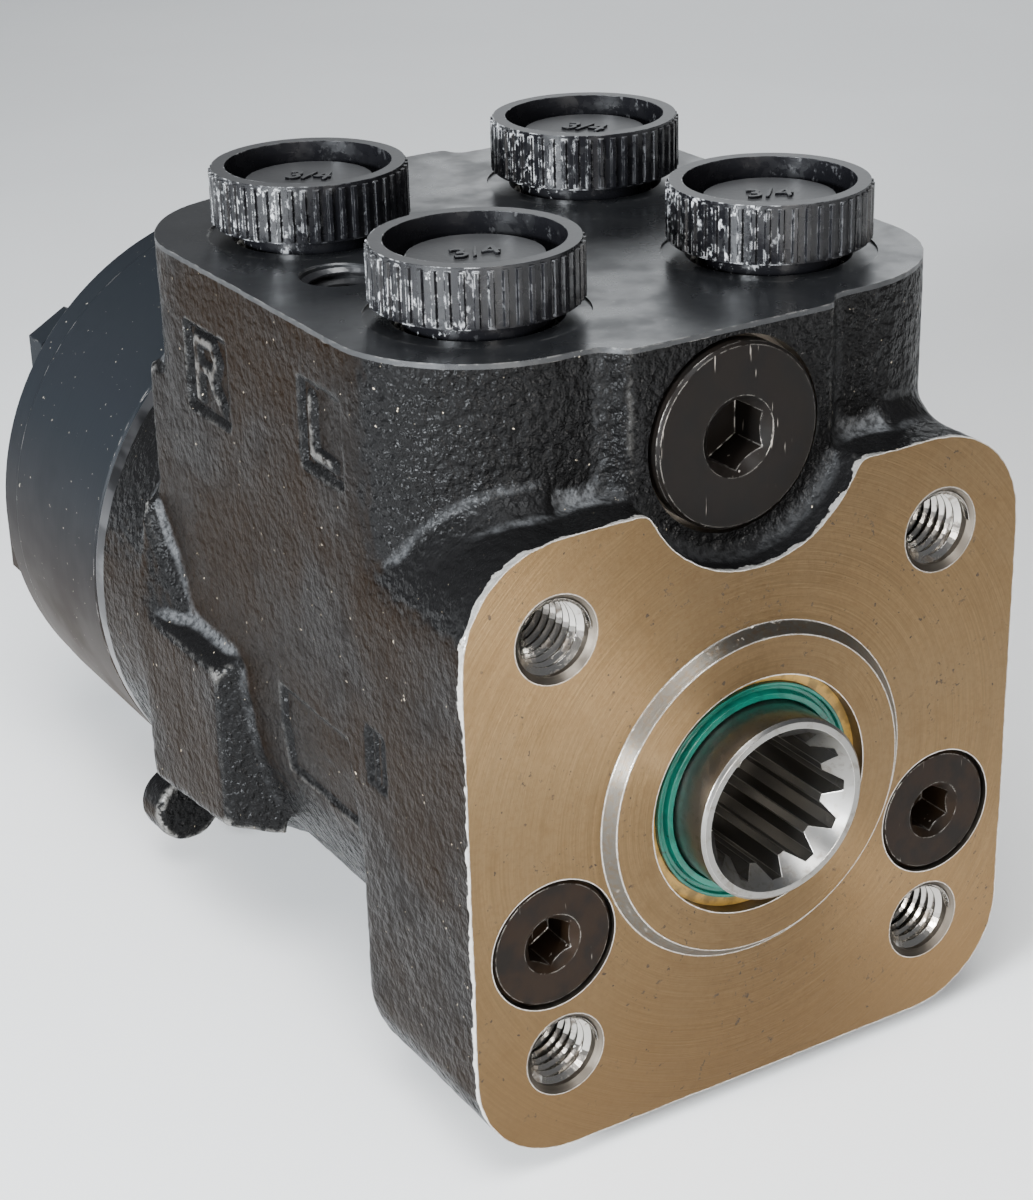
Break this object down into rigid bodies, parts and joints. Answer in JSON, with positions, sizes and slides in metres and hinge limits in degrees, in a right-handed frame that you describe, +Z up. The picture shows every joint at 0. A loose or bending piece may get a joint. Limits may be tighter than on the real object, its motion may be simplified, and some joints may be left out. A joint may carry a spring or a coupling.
{
  "type": "orbital steering unit",
  "caption": "Hydrostatic orbital steering unit: iron housing with a splined input, capped hose ports on top, relief and shock valves in front and a gerotor stack behind.",
  "frame": {"origin": "centre of the column mounting face, on the shaft axis", "axes": "+Y rearward along the shaft to the end cover, +Z up to the port face, +X to the right seen from the column"},
  "size_m": [0.0924, 0.1581, 0.1167],
  "materials": {
    "housing_paint": "satin black paint over a rough iron casting, front face bare and machined",
    "stack_paint": "smooth satin blue-black paint",
    "machined_iron": "machined iron with a light film of oil",
    "polished_steel": "turned and ground steel",
    "ground_steel": "ground steel",
    "bearing_steel": "polished bearing steel",
    "spring_steel": "oiled spring steel",
    "black_oxide": "black oxide, slightly oily",
    "green_seal": "smooth blue-green seal compound",
    "brown_ring": "yellow-brown ring",
    "black_rubber": "black rubber",
    "cap_plastic": "black moulded plastic with pale scuffs on its ridges"
  },
  "bodies": {
    "unit": {"housing": "housing_paint", "dust_seal": "green_seal", "seal_backing_ring": "brown_ring", "shaft_seal_ring": "black_rubber", "bearing_outer_race": "bearing_steel", "distribution_plate": "machined_iron", "gear_ring": "stack_paint", "end_cover": "stack_paint", "o_ring_front": "black_rubber", "o_ring_middle": "black_rubber", "o_ring_rear": "black_rubber", "cover_screws": "stack_paint", "pin_screw": "stack_paint", "screw_washers": "stack_paint", "suction_pin_left": "spring_steel", "suction_pin_right": "spring_steel", "relief_plug": "black_oxide", "relief_plug_washer": "machined_iron", "relief_adjust_screw": "ground_steel", "relief_spring": "spring_steel", "relief_seat": "ground_steel", "shock_plug_left": "black_oxide", "shock_washer_left": "machined_iron", "shock_set_screw_left": "ground_steel", "shock_spring_left": "spring_steel", "shock_plug_right": "black_oxide", "shock_washer_right": "machined_iron", "shock_set_screw_right": "ground_steel", "shock_spring_right": "spring_steel"},
    "sleeve_set": {"sleeve": "ground_steel", "cross_pin": "ground_steel", "centring_springs": "spring_steel", "spring_retaining_ring": "spring_steel", "bearing_inner_race": "bearing_steel"},
    "thrust_cage": {"needle_thrust_cage": "bearing_steel"},
    "spool_set": {"spool": "polished_steel"},
    "rotor_carrier": {"rotor_spacer": "ground_steel"},
    "rotor_star": {"rotor": "ground_steel"},
    "drive_link": {"cardan_shaft": "ground_steel"},
    "poppet": {"relief_poppet": "ground_steel"},
    "shock_ball_l": {"shock_ball_left": "bearing_steel"},
    "shock_ball_r": {"shock_ball_right": "bearing_steel"},
    "check_ball": {"check_ball": "bearing_steel"},
    "suction_ball_l": {"suction_ball_left": "bearing_steel"},
    "suction_ball_r": {"suction_ball_right": "bearing_steel"},
    "cap_1": {"port_cap_1": "cap_plastic"},
    "cap_2": {"port_cap_2": "cap_plastic"},
    "cap_3": {"port_cap_3": "cap_plastic"},
    "cap_4": {"port_cap_4": "cap_plastic"}
  },
  "joints": [
    {"name": "sleeve_turn", "type": "hinge", "parent": "unit", "child": "sleeve_set", "pos_m": [0, 0, 0], "axis": [0, 1, 0], "continuous": true},
    {"name": "cage_turn", "type": "hinge", "parent": "unit", "child": "thrust_cage", "pos_m": [0, 0, 0], "axis": [0, 1, 0], "continuous": true},
    {"name": "spool_turn", "type": "hinge", "parent": "sleeve_set", "child": "spool_set", "pos_m": [0, 0, 0], "axis": [0, 1, 0], "range_deg": [-8, 8], "stiffness_Nm_per_rad": 4, "deforming": ["centring_springs"]},
    {"name": "rotor_orbit", "type": "hinge", "parent": "unit", "child": "rotor_carrier", "pos_m": [0, 0, 0], "axis": [0, 1, 0], "continuous": true},
    {"name": "rotor_spin", "type": "hinge", "parent": "rotor_carrier", "child": "rotor_star", "pos_m": [0, 0.122, 0.003], "axis": [0, 1, 0], "continuous": true},
    {"name": "cardan_spin", "type": "hinge", "parent": "rotor_carrier", "child": "drive_link", "pos_m": [0, 0.0365, 0], "axis": [0, 0.9993, 0.0387], "continuous": true},
    {"name": "relief_poppet_lift", "type": "slide", "parent": "unit", "child": "poppet", "axis": [0, -1, 0], "range_m": [0, 0.0015], "stiffness_N_per_m": 500, "deforming": ["relief_spring"]},
    {"name": "shock_ball_left_lift", "type": "slide", "parent": "unit", "child": "shock_ball_l", "axis": [0, -1, 0], "range_m": [0, 0.001], "stiffness_N_per_m": 300, "deforming": ["shock_spring_left"]},
    {"name": "shock_ball_right_lift", "type": "slide", "parent": "unit", "child": "shock_ball_r", "axis": [0, -1, 0], "range_m": [0, 0.001], "stiffness_N_per_m": 300, "deforming": ["shock_spring_right"]},
    {"name": "check_ball_lift", "type": "slide", "parent": "unit", "child": "check_ball", "axis": [0, 1, 0], "range_m": [0, 0.0019]},
    {"name": "suction_ball_left_lift", "type": "slide", "parent": "unit", "child": "suction_ball_l", "axis": [0, 1, 0], "range_m": [0, 0.0019]},
    {"name": "suction_ball_right_lift", "type": "slide", "parent": "unit", "child": "suction_ball_r", "axis": [0, 1, 0], "range_m": [0, 0.0019]},
    {"name": "cap_1_lift", "type": "slide", "parent": "unit", "child": "cap_1", "axis": [0, 0, 1], "range_m": [0, 0.02]},
    {"name": "cap_2_lift", "type": "slide", "parent": "unit", "child": "cap_2", "axis": [0, 0, 1], "range_m": [0, 0.02]},
    {"name": "cap_3_lift", "type": "slide", "parent": "unit", "child": "cap_3", "axis": [0, 0, 1], "range_m": [0, 0.02]},
    {"name": "cap_4_lift", "type": "slide", "parent": "unit", "child": "cap_4", "axis": [0, 0, 1], "range_m": [0, 0.02]}
  ],
  "couplings": [
    {"joint": "cage_turn", "follows": "sleeve_turn", "ratio": 0.5},
    {"joint": "rotor_orbit", "follows": "sleeve_turn", "ratio": -6},
    {"joint": "rotor_spin", "follows": "sleeve_turn", "ratio": 7},
    {"joint": "cardan_spin", "follows": "sleeve_turn", "ratio": 7}
  ]
}
